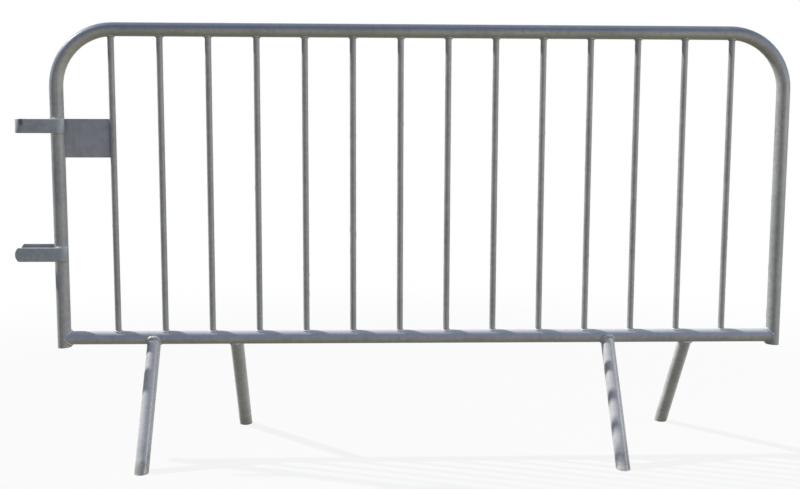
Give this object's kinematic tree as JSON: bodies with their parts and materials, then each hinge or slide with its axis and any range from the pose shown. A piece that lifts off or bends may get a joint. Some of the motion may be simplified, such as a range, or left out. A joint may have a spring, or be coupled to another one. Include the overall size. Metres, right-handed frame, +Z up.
{
  "type": "crowd-control barrier",
  "caption": "Galvanised steel crowd-control barrier: bent tube arch, upright bars, bottom rail, splayed fixed legs, blank marking plate, and hook and fork couplings on one end.",
  "frame": {"origin": "on the ground, under the middle of the overall box", "axes": "+X along the frame, away from the couplings; +Y to the back; +Z up"},
  "size_m": [1.995, 0.4734, 1.1],
  "materials": {
    "galvanised_tube": "weathered hot-dip galvanised, dull grey with a faint spangle",
    "galvanised_strip": "weathered hot-dip galvanised flat strip, slightly bluish",
    "galvanised_sheet": "weathered hot-dip galvanised sheet, bluish with drip marks",
    "galvanised_weld": "rippled weld metal under the same zinc coat, brighter on its crests"
  },
  "bodies": {
    "root": {"arch_frame": "galvanised_tube", "bottom_rail": "galvanised_tube", "bar_01": "galvanised_tube", "bar_02": "galvanised_tube", "bar_03": "galvanised_tube", "bar_04": "galvanised_tube", "bar_05": "galvanised_tube", "bar_06": "galvanised_tube", "bar_07": "galvanised_tube", "bar_08": "galvanised_tube", "bar_09": "galvanised_tube", "bar_10": "galvanised_tube", "bar_11": "galvanised_tube", "bar_12": "galvanised_tube", "bar_13": "galvanised_tube", "bar_14": "galvanised_tube", "leg_front_left": "galvanised_tube", "leg_front_right": "galvanised_tube", "leg_rear_left": "galvanised_tube", "leg_rear_right": "galvanised_tube", "hook": "galvanised_strip", "fork_front_arm": "galvanised_strip", "fork_rear_arm": "galvanised_strip", "marking_plate": "galvanised_sheet", "bar_head_welds": "galvanised_weld", "bar_foot_welds": "galvanised_weld", "rail_welds": "galvanised_weld", "leg_welds": "galvanised_weld", "coupling_welds": "galvanised_weld", "plate_tacks": "galvanised_weld"}
  },
  "joints": []
}
